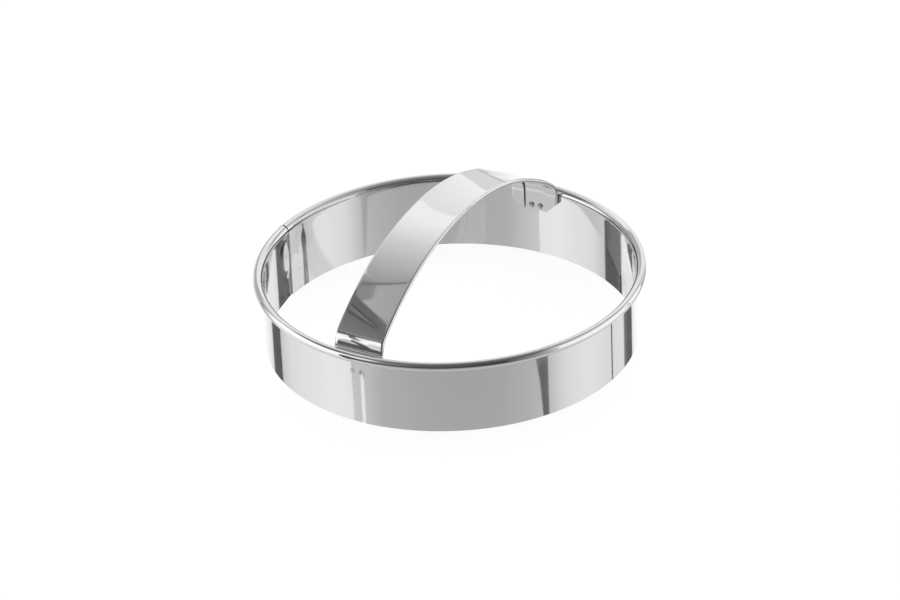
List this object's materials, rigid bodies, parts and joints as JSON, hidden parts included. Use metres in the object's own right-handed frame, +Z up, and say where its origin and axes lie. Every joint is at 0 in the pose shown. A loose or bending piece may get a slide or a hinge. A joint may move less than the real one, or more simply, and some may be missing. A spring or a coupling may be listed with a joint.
{
  "type": "cookie cutter",
  "caption": "Round sheet-steel cookie cutter: a lap-seamed ring with a rolled bead on top and a plain cutting edge below, and a hemmed strap handle arched over it.",
  "frame": {"origin": "centre of the cutting edge, on the surface that the cutter stands on", "axes": "+Z up, +X along the handle"},
  "size_m": [0.1048, 0.1053, 0.0408],
  "materials": {
    "bright_steel": "bright rolled",
    "weld_steel": "dished spot weld"
  },
  "bodies": {
    "root": {"cutter_band": "bright_steel", "handle_strap": "bright_steel", "near_handle_welds": "weld_steel", "far_handle_welds": "weld_steel", "seam_welds": "weld_steel"}
  },
  "joints": []
}
